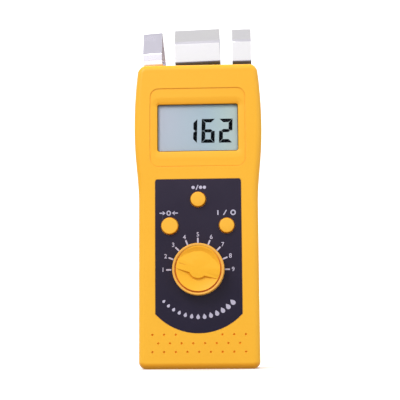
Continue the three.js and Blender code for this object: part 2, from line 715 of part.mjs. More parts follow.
for (const e of ELECTRODES) add(`${e.name}_electrode`, electrode(e), COLOUR.steel, 0.25, 1);
add("electrode_block", electrodeBlock(), COLOUR.black);
ELECTRODES.flatMap(({ x, screws }) => screws.map((dx) => x + dx)).forEach((x, i) => {
  add(`electrode_screw_${i + 1}`, screw(x, CLAMP_Z, BLOCK.halfDepth + 0.05, 2.2, 1.5, 1.25, 9), COLOUR.steel, 0.3, 1);
});
BLOCK_SCREWS.forEach(([x, z], i) => {
  add(`block_screw_${i + 1}`, screw(x, z, BLOCK.halfDepth + 0.05, 2.2, 1.5, 1.25, 15), COLOUR.steel, 0.3, 1);
});
for (const { name, x } of ELECTRODES) {
  const start = Math.sign(x) * 18.4;
  const end = Math.sign(x) * 14;
  const route = [[start, 0, 131.7], [start, -1.5, 129.5], [end, -3.5, 126.5], [end, -5.9, 124.5]];
  add(`${name}_electrode_lead`, wire(route, 0.55, 7), COLOUR.red, 0.6);
}

add("battery", battery(), COLOUR.blue, 0.4);
for (const { name, x, radius, sides } of TERMINALS) {
  const made = uprightRod(x, BATTERY_Y, radius, BATTERY.high + 0.05, BATTERY.high + 2.5, sides);
  add(`battery_terminal_${name}`, made, COLOUR.steel, 0.3, 1);
}
add("battery_snap", batterySnap(), COLOUR.black);
const leads = [{ name: "red", x: 8 }, { name: "black", x: 10 }];
for (const { name, x } of leads) {
  const route = [[x, BATTERY_Y - 2, 57.3], [x, -0.5, 58.2], [x, -3.2, 60.5], [x, -5.9, 64]];
  add(`battery_lead_${name}`, wire(route, 0.6, 7), COLOUR[name], 0.6);
}

CASE_SCREWS.forEach(([x, z], i) => {
  add(`case_screw_${i + 1}`, screw(x, z, SCREW_SEAT + 0.05, 2.5, 1.7, 1.25, 12), COLOUR.steel, 0.3, 1);
});
BOARD_SCREWS.forEach(([x, z], i) => {
  add(`board_screw_${i + 1}`, screw(x, z, BOARD_BACK + 0.05, 1.9, 1.2, 0.9, 4), COLOUR.steel, 0.3, 1);
});

export default meter;
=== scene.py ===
"""The looks of a hand-held moisture meter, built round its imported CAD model.

Lengths are in millimetres until a mesh is made; +Z is up and the display faces -Y.
"""

import math

import bmesh
import bpy
from mathutils import Matrix, Vector


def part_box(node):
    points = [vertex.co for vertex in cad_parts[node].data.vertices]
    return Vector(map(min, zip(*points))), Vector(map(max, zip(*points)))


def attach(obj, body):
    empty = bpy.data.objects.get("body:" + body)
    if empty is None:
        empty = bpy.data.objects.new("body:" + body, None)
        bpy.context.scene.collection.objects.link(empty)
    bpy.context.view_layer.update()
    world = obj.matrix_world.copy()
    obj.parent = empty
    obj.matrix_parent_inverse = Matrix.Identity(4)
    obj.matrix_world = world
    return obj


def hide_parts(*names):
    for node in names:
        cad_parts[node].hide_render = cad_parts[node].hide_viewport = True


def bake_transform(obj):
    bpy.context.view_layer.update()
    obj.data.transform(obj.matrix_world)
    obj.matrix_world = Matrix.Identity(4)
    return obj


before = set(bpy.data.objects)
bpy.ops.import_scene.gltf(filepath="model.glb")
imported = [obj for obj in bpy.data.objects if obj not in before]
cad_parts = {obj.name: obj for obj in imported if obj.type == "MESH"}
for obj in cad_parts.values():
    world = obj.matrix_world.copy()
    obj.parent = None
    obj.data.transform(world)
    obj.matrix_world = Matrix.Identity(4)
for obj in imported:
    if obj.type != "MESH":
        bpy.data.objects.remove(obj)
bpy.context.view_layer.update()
MM = 0.001


def node_box(node):
    """The lowest and highest corner of a CAD node, in millimetres."""
    low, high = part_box(node)
    return [v / MM for v in low], [v / MM for v in high]


# ---------- driving dimensions
FRONT = node_box("front_case")[0][1]
BACK = node_box("rear_case")[1][1]
TOP = node_box("front_case")[1][2]
WALL = 2.2
EDGE = 3.0  # rounding of the front and back edges
PARTING = 2.0
SEAM = 0.3
GAP = 0.3
INNER_FRONT = FRONT + WALL
INNER_BACK = BACK - WALL

HALF_GRIP = 28.05
HALF_HEAD = 30.2
HALF_SHOULDER = 28.65
GRIP_TOP = 76.0
HEAD_MIDDLE = 113.0
TOP_CORNER = 4.0
FOOT_RADIUS = 3.5

WINDOW = (19.15, 101.45, 124.15, 1.1)  # half width, bottom, top, corner radius
PLATE = (22.5, 94.0, 131.7, 4.0)
PLATE_DEPTH = 0.25
LABEL_HALF, LABEL_LOW, LABEL_TIP, LABEL_TOP = 20.25, 25.05, 16.2, 88.2
LABEL_FACE = node_box("control_label")[0][1]
LABEL_RECESS = 0.35

BUTTONS = {
    "single_double": (0.0, 78.35, 3.45),
    "zero": (-13.3, 66.0, 3.85),
    "power": (13.3, 66.0, 3.45),
}
KNOB_Z = 45.6
KNOB_LEAN = math.radians(14)
KNOB_RADII = (12.1, 11.9)  # at the case and at the rim
KNOB_GROOVE = (10.2, 10.85)  # inner and outer radius
KNOB_BOWL = (10.15, 1.3)  # radius and depth
STRIP = 0.6
LOOP_PIVOT = 146.2
ELECTRODES = {
    # name: (middle, width, shoulder and apex heights, shoulder radius, turn and lean in degrees)
    "left": (-21.3, 9.1, 150.3, 163.3, 1.0, 3.0, 3.0),
    "center": (0.0, 21.7, 155.6, 164.3, 0.4, 0.0, 1.6),
    "right": (21.3, 9.1, 156.2, 164.1, 0.4, 0.0, 0.5),
}
ELECTRODE_SLOT = 5.2  # half the depth of the openings in the case's top
ELECTRODE_HALF_DEPTH = 7.2
DOOR_HALF = 13.9
SCREW_SEAT = 6.0
DIMPLE_PITCH = 5.38
DIMPLE_ROWS = (7.8, 11.75, 15.7)  # heights of the full, the offset and the open row
INK_THICK = 0.025
DIAL_X = -0.25  # the printed dial sits a little left of the knob
DIGIT_SIZE = (6.25, 11.5)
SEGMENT_THICK = 1.8
SEGMENT_GAP = 0.06

# ---------- outlines
def bezier(p0, p1, p2, p3, steps):
    """Points along a cubic Bezier curve, without its first point."""
    made = []
    for i in range(1, steps + 1):
        t = i / steps
        s = 1 - t
        made.append(
            tuple(
                s**3 * a + 3 * s * s * t * b + 3 * s * t * t * c + t**3 * d
                for a, b, c, d in zip(p0, p1, p2, p3)
            )
        )
    return made


def arc(cx, cz, radius, start, end, steps):
    """Points along an arc, in degrees, ends included."""
    angles = [math.radians(start + (end - start) * i / steps) for i in range(steps + 1)]
    return [(cx + radius * math.cos(a), cz + radius * math.sin(a)) for a in angles]


def rounded_rect(half, low, high, radius, steps=8):
    x, z = half - radius, low + radius
    top = high - radius
    return (
        arc(x, z, radius, -90, 0, steps)
        + arc(x, top, radius, 0, 90, steps)
        + arc(-x, top, radius, 90, 180, steps)
        + arc(-x, z, radius, 180, 270, steps)
    )


def offset(outline, distance):
    """A counter-clockwise outline grown outwards by distance."""
    made = []
    count = len(outline)
    for i, point in enumerate(outline):
        before = Vector(outline[i - 1])
        here = Vector(point)
        after = Vector(outline[(i + 1) % count])
        into = (here - before).normalized()
        out = (after - here).normalized()
        n1 = Vector((into.y, -into.x))
        n2 = Vector((out.y, -out.x))
        miter = (n1 + n2) / max(1 + n1.dot(n2), 0.3)
        made.append(tuple(here + miter * distance))
    return made


def case_outline(inset):
    """The case seen from the front, moved inwards by inset."""
    grip, head, shoulder = HALF_GRIP - inset, HALF_HEAD - inset, HALF_SHOULDER - inset
    top = TOP - inset
    foot = FOOT_RADIUS - inset
    corner = TOP_CORNER - inset
    right = arc(grip - foot, inset + foot, foot, -90, 0, 4)
    right += [(grip, z) for z in (20.0, 40.0, 56.0)]
    right.append((grip, GRIP_TOP))
    right += bezier((grip, GRIP_TOP), (grip, 90), (head, 97), (head, HEAD_MIDDLE), 28)
    end = (shoulder, top - corner)
    right += bezier((head, HEAD_MIDDLE), (head, 124), (shoulder + 0.85, 133), end, 20)
    tip = (shoulder - corner, top)
    pull = (shoulder - 0.5, top)
    inner = [tuple(a + (b - a) * 2 / 3 for a, b in zip(p, pull)) for p in (end, tip)]
    right += bezier(end, inner[0], inner[1], tip, 5)
    left = [(-x, z) for x, z in reversed(right)]
    return right + left


BASE = case_outline(EDGE)


def case_ring(inset, y):
    """A ring of the case at an inset from its outer face and a depth y."""
    return [(x, y, z) for x, z in offset(BASE, EDGE - inset)]


def label_outline(inset):
    half = LABEL_HALF - inset
    sag = LABEL_LOW - LABEL_TIP
    radius = (half * half + sag * sag) / (2 * sag)
    reach = math.degrees(math.asin(half / radius))
    bottom = arc(0, LABEL_TIP + inset + radius, radius, 270 - reach, 270 + reach, 36)
    corner = 1.2
    x, z = half - corner, LABEL_TOP - inset - corner
    return bottom + arc(x, z, corner, 0, 90, 8) + arc(-x, z, corner, 90, 180, 8)


def fillet(points, radii, steps=6):
    """An open polyline of 2D points with its inner corners rounded."""
    made = [tuple(points[0])]
    for i in range(1, len(points) - 1):
        here = Vector(points[i])
        back, on = Vector(points[i - 1]) - here, Vector(points[i + 1]) - here
        half = back.angle(on) / 2
        reach = min(radii[i - 1] / math.tan(half), back.length * 0.49, on.length * 0.49)
        radius = reach * math.tan(half)
        a, b = back.normalized(), on.normalized()
        centre = here + (a + b).normalized() * (radius / math.sin(half))
        start, end = here + a * reach - centre, here + b * reach - centre
        turn = start.angle_signed(end)
        for k in range(steps + 1):
            spoke = start.copy()
            spoke.rotate(Matrix.Rotation(-turn * k / steps, 2))
            made.append(tuple(centre + spoke))
    made.append(tuple(points[-1]))
    return made


# ---------- meshes
def linked(name, data):
    """A new object in the scene."""
    made = bpy.data.objects.new(name, data)
    bpy.context.scene.collection.objects.link(made)
    return made


def mesh_object(name, verts, faces):
    """An object from millimetre points and faces, its normals facing out."""
    mesh = bpy.data.meshes.new(name)
    mesh.from_pydata([tuple(v * MM for v in p) for p in verts], [], faces)
    bm = bmesh.new()
    bm.from_mesh(mesh)
    bmesh.ops.remove_doubles(bm, verts=bm.verts, dist=1e-7)
    bmesh.ops.recalc_face_normals(bm, faces=bm.faces)
    bm.to_mesh(mesh)
    bm.free()
    return linked(name, mesh)


def loft(name, rings, capped=True):
    """A closed object through rings of equal point counts."""
    count = len(rings[0])
    verts = [p for ring in rings for p in ring]
    faces = []
    for r in range(len(rings) - 1):
        for i in range(count):
            j = (i + 1) % count
            a, b = r * count, (r + 1) * count
            faces.append((a + i, a + j, b + j, b + i))
    if capped:
        faces.append(tuple(range(count)))
        faces.append(tuple(range((len(rings) - 1) * count, len(rings) * count)))
    return mesh_object(name, verts, faces)


def prism(name, outline, front, back):
    return loft(name, [[(x, y, z) for x, z in outline] for y in (front, back)])


def box(name, x0, x1, y0, y1, z0, z1):
    return prism(name, [(x0, z0), (x1, z0), (x1, z1), (x0, z1)], y0, y1)


def lathe(name, profile, cx, cz, segments=64):
    """A closed turned piece about a Y line, from (radius, y) points, ends capped flat."""
    rings = []
    for radius, y in profile:
        turns = [2 * math.pi * i / segments for i in range(segments)]
        rings.append([(cx + radius * math.cos(a), y, cz + radius * math.sin(a)) for a in turns])
    return loft(name, rings)


def rod(name, x, z, radius, front, back, segments=48):
    return lathe(name, [(radius, front), (radius, back)], x, z, segments)


def bake(piece):
    """Applies a piece's modifiers."""
    graph = bpy.context.evaluated_depsgraph_get()
    made = bpy.data.meshes.new_from_object(piece.evaluated_get(graph))
    piece.modifiers.clear()
    old = piece.data
    piece.data = made
    made.name = old.name if old.users == 0 else made.name
    if old.users == 0:
        bpy.data.meshes.remove(old)


def combine(piece, other, operation="DIFFERENCE"):
    """A boolean with another object, which is used up."""
    modifier = piece.modifiers.new("boolean", "BOOLEAN")
    modifier.operation = operation
    modifier.solver = "EXACT"
    modifier.object = other
    bake(piece)
    bpy.data.objects.remove(other)


def joined(name, pieces):
    """Several objects as one mesh, with no boolean."""
    bm = bmesh.new()
    for piece in pieces:
        bm.from_mesh(piece.data)
        bpy.data.objects.remove(piece)
    mesh = bpy.data.meshes.new(name)
    bm.to_mesh(mesh)
    bm.free()
    return linked(name, mesh)


def soften(piece, width, segments=3, angle=40):
    """Rounds the sharp edges of a piece by width."""
    bevel = piece.modifiers.new("bevel", "BEVEL")
    bevel.width = width * MM
    bevel.segments = segments
    bevel.limit_method = "ANGLE"
    bevel.angle_limit = math.radians(angle)
    bevel.use_clamp_overlap = True
    bevel.miter_outer = "MITER_ARC"
    bake(piece)


def smooth(piece):
    """Smooth shading that leaves flat faces flat."""
    for face in piece.data.polygons:
        face.use_smooth = True
    normals = piece.modifiers.new("normals", "WEIGHTED_NORMAL")
    normals.weight = 50
    normals.keep_sharp = True
    bake(piece)


def flatten(piece):
    """Shades the broad front and back faces of a shell flat, right up to their rounded edges."""
    mesh = piece.data
    normals = [corner.vector.copy() for corner in mesh.corner_normals]
    depths = [vertex.co.y for vertex in mesh.vertices]
    outermost = {-1: min(depths), 1: max(depths)}
    slack = (outermost[1] - outermost[-1]) * 1e-4
    for face in mesh.polygons:
        side = math.copysign(1, face.normal.y) if abs(face.normal.y) > 0.998 else 0
        # A sliver in the outermost plane has no reliable normal, so its place decides.
        for way, level in outermost.items():
            if all(abs(depths[vertex] - level) < slack for vertex in face.vertices):
                side = way
        if side:
            face.use_smooth = False
            for corner in face.loop_indices:
                normals[corner] = Vector((0, side, 0))
    mesh.normals_split_custom_set(normals)


def finish_piece(piece, body, slot, material, *stands_for):
    """Gives a piece its body and its finish, and hides the CAD nodes it stands for."""
    piece.data.materials.clear()
    piece.data.materials.append(material)
    if body:
        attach(piece, body)
    if stands_for:
        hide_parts(*stands_for)
    return piece


# ---------- materials
def linear(red, green, blue):
    """An 8-bit display colour as the linear colour of a shader."""
    channels = []
    for value in (red, green, blue):
        share = value / 255
        channels.append(share / 12.92 if share <= 0.04045 else ((share + 0.055) / 1.055) ** 2.4)
    return (*channels, 1.0)


class Material:
    """A node material built up in steps round one principled shader."""

    def __init__(self, name, **inputs):
        self.material = bpy.data.materials.new(name)
        self.material.use_nodes = True
        self.nodes = self.material.node_tree.nodes
        self.links = self.material.node_tree.links
        self.shader = self.nodes["Principled BSDF"]
        for key, value in inputs.items():
            self.shader.inputs[key.replace("_", " ")].default_value = value
        self.place = self.nodes.new("ShaderNodeTexCoord").outputs["Object"]

    def node(self, kind, links=(), **settings):
        made = self.nodes.new(kind)
        for key, value in settings.items():
            setattr(made, key, value)
        for socket, source in dict(links).items():
            if hasattr(source, "is_output"):
                self.links.new(source, made.inputs[socket])
            else:
                made.inputs[socket].default_value = source
        return made

    def stretched(self, x, y, z):
        """The object's own coordinates scaled along each axis."""
        links = {"Vector": self.place, "Scale": (x, y, z)}
        return self.node("ShaderNodeMapping", links).outputs[0]

    def axis(self, index):
        """One of the object's own coordinates: 0, 1 or 2 for X, Y or Z."""
        return self.node("ShaderNodeSeparateXYZ", {0: self.place}).outputs[index]

    def noise(self, scale, detail=3.0, roughness=0.5, place=None):
        links = {
            "Vector": place or self.place,
            "Scale": scale,
            "Detail": detail,
            "Roughness": roughness,
        }
        return self.node("ShaderNodeTexNoise", links).outputs["Fac"]

    def ramp(self, source, low, high, start=0.0, end=1.0):
        """A number mapped from low..high to start..end, held at its ends."""
        links = {"Value": source, "From Min": low, "From Max": high}
        links.update({"To Min": start, "To Max": end})
        return self.node("ShaderNodeMapRange", links, clamp=True).outputs[0]

    def mix(self, factor, first, second, blend="MIX"):
        links = {0: factor, 6: first, 7: second}
        return self.node("ShaderNodeMix", links, data_type="RGBA", blend_type=blend).outputs[2]

    def math(self, operation, first, second=0.0):
        return self.node("ShaderNodeMath", {0: first, 1: second}, operation=operation).outputs[0]

    def edges(self, radius):
        """1 on edges rounder than radius, 0 on flat faces."""
        bent = self.node("ShaderNodeBevel", {"Radius": radius * MM}, samples=4).outputs[0]
        plain = self.nodes.new("ShaderNodeNewGeometry").outputs["Normal"]
        links = {0: bent, 1: plain}
        same = self.node("ShaderNodeVectorMath", links, operation="DOT_PRODUCT").outputs["Value"]
        return self.ramp(same, 0.98, 0.8)

    def beyond(self, radius, middle_z):
        """1 further than radius from an axis along Y at height middle_z."""
        x, _, z = self.node("ShaderNodeSeparateXYZ", {0: self.place}).outputs
        up = self.math("SUBTRACT", z, middle_z * MM)
        square = self.math("ADD", self.math("MULTIPLY", x, x), self.math("MULTIPLY", up, up))
        return self.ramp(self.math("SQRT", square), (radius - 0.1) * MM, (radius + 0.1) * MM)

    def bump(self, *layers):
        """Stacks bump layers given as (height, strength, distance in mm)."""
        normal = None
        for height, strength, distance in layers:
            links = {"Height": height, "Strength": strength, "Distance": distance * MM}
            if normal:
                links["Normal"] = normal
            normal = self.node("ShaderNodeBump", links).outputs[0]
        self.links.new(normal, self.shader.inputs["Normal"])

    def use(self, **sources):
        for key, source in sources.items():
            self.links.new(source, self.shader.inputs[key.replace("_", " ")])
        return self


def moulded(name, colour, deep, worn_and_sheen, roughness, grain, grain_depth, rim=None):
    """Moulded plastic: fine spark-eroded grain, faint flow marks, handling wear on its edges.

    Painted shade: its colour turns a deeper orange at a glancing angle and on faces that look
    down."""
    m = Material(name, IOR=1.5, Specular_IOR_Level=0.4)
    colour, deep, worn_and_sheen = linear(*colour), linear(*deep), linear(*worn_and_sheen)
    broad = m.noise(22, 4)
    speck = m.noise(900, 2)
    tone = m.math("ADD", m.ramp(broad, 0.35, 0.65, 0, 0.75), m.ramp(speck, 0.4, 0.7, 0, 0.25))
    base = m.mix(tone, colour, deep)
    scuffs = m.ramp(m.noise(240, 5, 0.65), 0.45, 0.62)
    wear = m.math("MULTIPLY", m.edges(0.5), m.ramp(scuffs, 0, 1, 0.15, 0.6))
    smudge = m.ramp(m.noise(60, 5, 0.6), 0.4, 0.7)
    polish = m.math("MULTIPLY", wear, -0.12)
    shine = m.math("ADD", m.ramp(smudge, 0, 1, roughness, roughness + 0.12), polish)
    # painted shade: the colour turns a deeper orange at a glancing angle and on faces that look
    # down
    painted_shade_glancing = m.node("ShaderNodeLayerWeight", {"Blend": 0.3}).outputs["Facing"]
    facing = m.nodes.new("ShaderNodeNewGeometry").outputs["Normal"]
    upward = m.node("ShaderNodeSeparateXYZ", {0: facing}).outputs[2]
    painted_shade_below = m.ramp(upward, 0, -0.35, 0, 0.8)
    depth = m.math("MAXIMUM", m.ramp(painted_shade_glancing, 0.35, 0.85, 0, 0.5), painted_shade_below)
    base = m.mix(depth, m.mix(wear, base, worn_and_sheen), linear(246, 160, 15))
    if rim:
        # painted shade in the groove inside the rim, strong in its lower part and none along its
        # top; the rim beyond the groove is painted paler, a painted sheen
        inner, outer, middle_z = rim
        low = m.ramp(m.axis(2), (middle_z + 9) * MM, (middle_z + 3) * MM)
        ring = m.math("SUBTRACT", m.beyond(inner, middle_z), m.beyond(outer, middle_z))
        base = m.mix(m.beyond(outer, middle_z), base, worn_and_sheen)
        base = m.mix(m.math("MULTIPLY", ring, low), base, linear(226, 126, 8))
    m.use(Base_Color=base, Roughness=shine)
    m.bump((m.noise(grain, 3, 0.6), 0.35, grain_depth), (m.noise(45, 2), 0.15, 0.05))
    return m.material


def printed_film(name, colour, deep):
    """A satin printed film with a fine emboss and a few hairline scratches."""
    m = Material(name, IOR=1.5, Specular_IOR_Level=0.22)
    # the film is darker towards the bottom
    darker_downwards = m.ramp(m.axis(2), LABEL_TOP * MM, LABEL_TIP * MM, 0, 0.75)
    tone = m.math("ADD", darker_downwards, m.ramp(m.noise(30, 3), 0.35, 0.65, 0, 0.25))
    hairs = m.noise(900, 2, 0.4, m.stretched(1, 1, 0.04))
    used = m.ramp(m.noise(25, 2), 0.5, 0.6)
    scratch = m.math("MULTIPLY", m.ramp(hairs, 0.68, 0.75, 0, 0.25), used)
    wear = m.math("MAXIMUM", scratch, m.math("MULTIPLY", m.edges(0.25), 0.3))
    m.use(
        Base_Color=m.mix(wear, m.mix(tone, colour, deep), linear(150, 146, 160)),
        Roughness=m.ramp(m.noise(80, 4), 0.3, 0.7, 0.34, 0.5),
    )
    m.bump((m.noise(5200, 2), 0.25, 0.012), (hairs, 0.05, 0.01))
    return m.material


def plain_plastic(name, colour, roughness=0.45, gloss=0.5):
    m = Material(name, IOR=1.5, Specular_IOR_Level=gloss)
    colour = linear(*colour)
    tone = m.ramp(m.noise(60, 3), 0.3, 0.7, 0.85, 1.1)
    grey = m.node("ShaderNodeCombineColor", {0: tone, 1: tone, 2: tone}).outputs[0]
    m.use(Base_Color=m.mix(1.0, colour, grey, "MULTIPLY"))
    m.use(Roughness=m.ramp(m.noise(150, 4), 0.3, 0.7, roughness - 0.08, roughness + 0.1))
    m.bump((m.noise(2500, 2), 0.25, 0.02))
    return m.material


def metal(name, colour, dull, roughness, lines, line_scale=4000, painted_underside=None, crown=None):
    """Metal with a directional finish: lines is how much the grain is drawn out along X, Y, Z.

    The colour for faces that look down is painted matt over them: a painted shade, or a painted
    light where that colour is bright. crown is a painted reflection: the colour painted over faces
    that look up, and the least and the most they do so."""
    m = Material(name, Metallic=1.0)
    colour, dull = linear(*colour), linear(*dull)
    streaks = m.noise(line_scale, 3, 0.6, m.stretched(*lines))
    patches = m.ramp(m.noise(90, 4, 0.6), 0.4, 0.7)
    tone = m.mix(m.ramp(patches, 0, 1, 0, 0.5), colour, dull)
    if painted_underside:
        facing = m.nodes.new("ShaderNodeNewGeometry").outputs["Normal"]
        across, _, upward = m.node("ShaderNodeSeparateXYZ", {0: facing}).outputs
        # faces that look down are painted a matt colour: a painted shade, or a painted light where
        # that colour is bright
        painted_underside_mask = m.ramp(upward, -0.12, -0.45)
        cut_edge = m.ramp(m.math("ABSOLUTE", across), 0.75, 0.95)
        shade, low, high = crown
        shade, painted_underside = linear(*shade), linear(*painted_underside)
        # faces that look up within the given range are painted a lighter colour, a painted
        # reflection
        above = m.ramp(upward, low - 0.05, low + 0.05)
        steeper = m.ramp(upward, high - 0.05, high + 0.05)
        tone = m.mix(m.math("SUBTRACT", above, steeper), tone, shade)
        tone = m.mix(cut_edge, m.mix(painted_underside_mask, tone, painted_underside), linear(150, 146, 150))
        m.use(Metallic=m.ramp(m.math("MAXIMUM", painted_underside_mask, cut_edge), 0, 1, 1, 0.1))
    grain = m.ramp(streaks, 0.3, 0.7, roughness - 0.005, roughness + 0.01)
    m.use(Base_Color=tone, Roughness=m.math("ADD", grain, m.ramp(patches, 0, 1, 0, 0.06)))
    m.bump((streaks, 0.01, 0.001))
    return m.material


def clear_pane(name):
    """Thin clear acrylic that lets shadow rays through, with a faint surface haze."""
    m = Material(name, Roughness=0.06, Metallic=1.0)
    m.use(Base_Color=m.mix(m.noise(60, 2), linear(250, 252, 255), linear(240, 244, 250)))
    clear = m.node("ShaderNodeBsdfTransparent", {"Color": (0.97, 0.98, 0.99, 1)}).outputs[0]
    shine = m.node("ShaderNodeFresnel", {"IOR": 1.12}).outputs[0]
    haze = m.ramp(m.noise(140, 5, 0.6), 0.45, 0.75, 0.0, 0.004)
    gloss = m.math("ADD", shine, haze)
    mixed = m.node("ShaderNodeMixShader", {0: gloss, 1: clear, 2: m.shader.outputs[0]})
    m.links.new(mixed.outputs[0], m.nodes["Material Output"].inputs["Surface"])
    return m.material


def display(name):
    """The grey-blue reflector of the display, lilac to the left and greener to the right."""
    m = Material(name, Roughness=0.3, IOR=1.5)
    across = m.axis(0)
    tone = m.mix(m.ramp(across, -0.019, 0.019), linear(203, 203, 214), linear(172, 202, 208))
    tone = m.mix(m.ramp(across, 0.004, 0.017), tone, linear(200, 214, 205))
    cloud = m.mix(m.ramp(m.noise(90, 4), 0.3, 0.7, 0, 0.25), tone, linear(188, 205, 212))
    m.use(Base_Color=cloud, Roughness=m.ramp(m.noise(1500, 2), 0.3, 0.7, 0.32, 0.42))
    m.bump((m.noise(6000, 2), 0.1, 0.01))
    return m.material


def circuit_board(name):
    """Green solder mask with copper tracks showing through."""
    m = Material(name, IOR=1.5)
    turn = {"Vector": m.place, "Rotation": (math.pi / 2, 0, 0)}
    facing = m.node("ShaderNodeMapping", turn).outputs[0]
    links = {"Vector": facing, "Scale": 220.0, "Mortar Size": 0.03}
    cells = m.node("ShaderNodeTexBrick", links).outputs["Fac"]
    tracks = m.ramp(m.math("MULTIPLY", cells, m.ramp(m.noise(120, 2), 0.45, 0.5)), 0, 1)
    m.use(
        Base_Color=m.mix(tracks, linear(22, 82, 44), linear(70, 130, 62)),
        Roughness=m.ramp(m.noise(300, 3), 0.3, 0.7, 0.28, 0.4),
    )
    m.bump((tracks, 0.4, 0.03))
    return m.material


def battery_sleeve(name, seam_z):
    """A battery's printed sleeve: a pale band over a dark one."""
    m = Material(name, IOR=1.5)
    band = m.ramp(m.axis(2), (seam_z - 0.1) * MM, (seam_z + 0.1) * MM)
    tone = m.mix(band, linear(38, 42, 52), linear(186, 150, 92))
    rubbed = m.ramp(m.noise(120, 4), 0.4, 0.7, 0, 0.3)
    m.use(
        Base_Color=m.mix(rubbed, tone, linear(90, 84, 78)),
        Roughness=m.ramp(m.noise(200, 4), 0.3, 0.7, 0.22, 0.38),
    )
    m.bump((m.noise(180, 3), 0.2, 0.05))
    return m.material


YELLOW = moulded("case_plastic", (255, 188, 44), (253, 183, 36), (255, 200, 90), 0.42, 3600, 0.03)
KEY_YELLOW = moulded(
    "key_plastic", (255, 188, 52), (253, 184, 46), (255, 200, 96), 0.36, 5200, 0.015
)
KNOB_YELLOW = moulded(
    "knob_plastic",
    (255, 186, 30),
    (254, 180, 20),
    (249, 181, 72),
    0.4,
    5200,
    0.01,
    # the groove gets painted shade and the rim a painted sheen
    rim=(KNOB_GROOVE[0], 10.8, KNOB_Z),
)
NAVY = printed_film("label_film", linear(46, 38, 57), linear(14, 7, 36))
INK = plain_plastic("label_ink", (196, 190, 212), 0.5)
DRAWN = (1, 0.05, 0.05)  # a finish drawn out along X
# painted shade on the strips' undersides and a painted reflection on their shoulders
STEEL = metal(
    "electrode_steel",
    (255, 253, 255),
    (247, 244, 252),
    0.2,
    DRAWN,
    painted_underside=(108, 122, 164),
    crown=((234, 231, 240), 0.2, 0.48),
)
# the left electrode's steel: painted light, near-white, on faces that look down and a painted
# reflection on faces that look up
LEFT_ELECTRODE_STEEL = metal(
    "left_electrode_steel",
    (243, 239, 249),
    (236, 232, 242),
    0.22,
    DRAWN,
    painted_underside=(244, 240, 248),
    crown=((233, 229, 243), 0.3, 1.2),
)
ZINC = metal("screw_zinc", (205, 206, 210), (165, 164, 168), 0.28, (1, 1, 1), 1500)
BRASS = metal("contact_brass", (214, 178, 104), (180, 140, 78), 0.25, (1, 0.1, 0.1))
COPPER = metal("coil_copper", (200, 120, 70), (150, 84, 48), 0.35, (1, 0.05, 1), 2500)
CLEAR = clear_pane("window_acrylic")
DISPLAY = display("display_glass")
DIGIT = plain_plastic("display_segments", (3, 7, 12), 0.9, 0.05)
# a painted shade: the dark ring round the inside of the window's edge
WINDOW_EDGE_SHADE = plain_plastic("window_edge_painted_shade", (112, 88, 38), 0.6, 0.1)
BLACK = plain_plastic("black_plastic", (34, 34, 37), 0.5)
RUBBER = plain_plastic("zebra_rubber", (48, 48, 50), 0.7)
CREAM = plain_plastic("cream_plastic", (222, 216, 200), 0.4)
RED = plain_plastic("red_insulation", (176, 34, 28), 0.45)
BLUE = plain_plastic("blue_sleeve", (34, 60, 118), 0.3)
BOARD = circuit_board("circuit_board")
SLEEVE = battery_sleeve("battery_sleeve", node_box("battery")[1][2] - 14)


# ---------- the case
def quarter(inset_at_wall, y_wall, y_face, radius, steps=8):
    """Ring places (inset, y) that turn from a side wall into a face."""
    toward = math.copysign(1, y_face - y_wall)
    places = []
    for i in range(steps + 1):
        a = math.radians(90) * i / steps
        inset = inset_at_wall + radius * (1 - math.cos(a))
        places.append((inset, y_face - toward * radius * (1 - math.sin(a))))
    return places


def slots():
    """Cutters for the three openings that the electrodes stand in."""
    cutters = []
    half, low, high = ELECTRODE_SLOT, TOP - WALL - 2, TOP + 1
    for middle_x, width, *_ in ELECTRODES.values():
        reach = width / 2 + 0.5
        cutters.append(box("slot", middle_x - reach, middle_x + reach, -half, half, low, high))
    return cutters


def stepped(name, outline, places):
    """A cutter through copies of an outline, each grown by d at a depth y in the front."""
    return loft(name, [[(x, FRONT + y, z) for x, z in offset(outline, d)] for d, y in places])


def key_holes(play, knob_radius, back):
    """Cutters for the holes of the keys and of the knob's hub."""
    holes = [rod("hole", x, z, r + play, FRONT - 1, back) for x, z, r in BUTTONS.values()]
    return holes + [rod("hole", 0, KNOB_Z, knob_radius, FRONT - 1, back)]


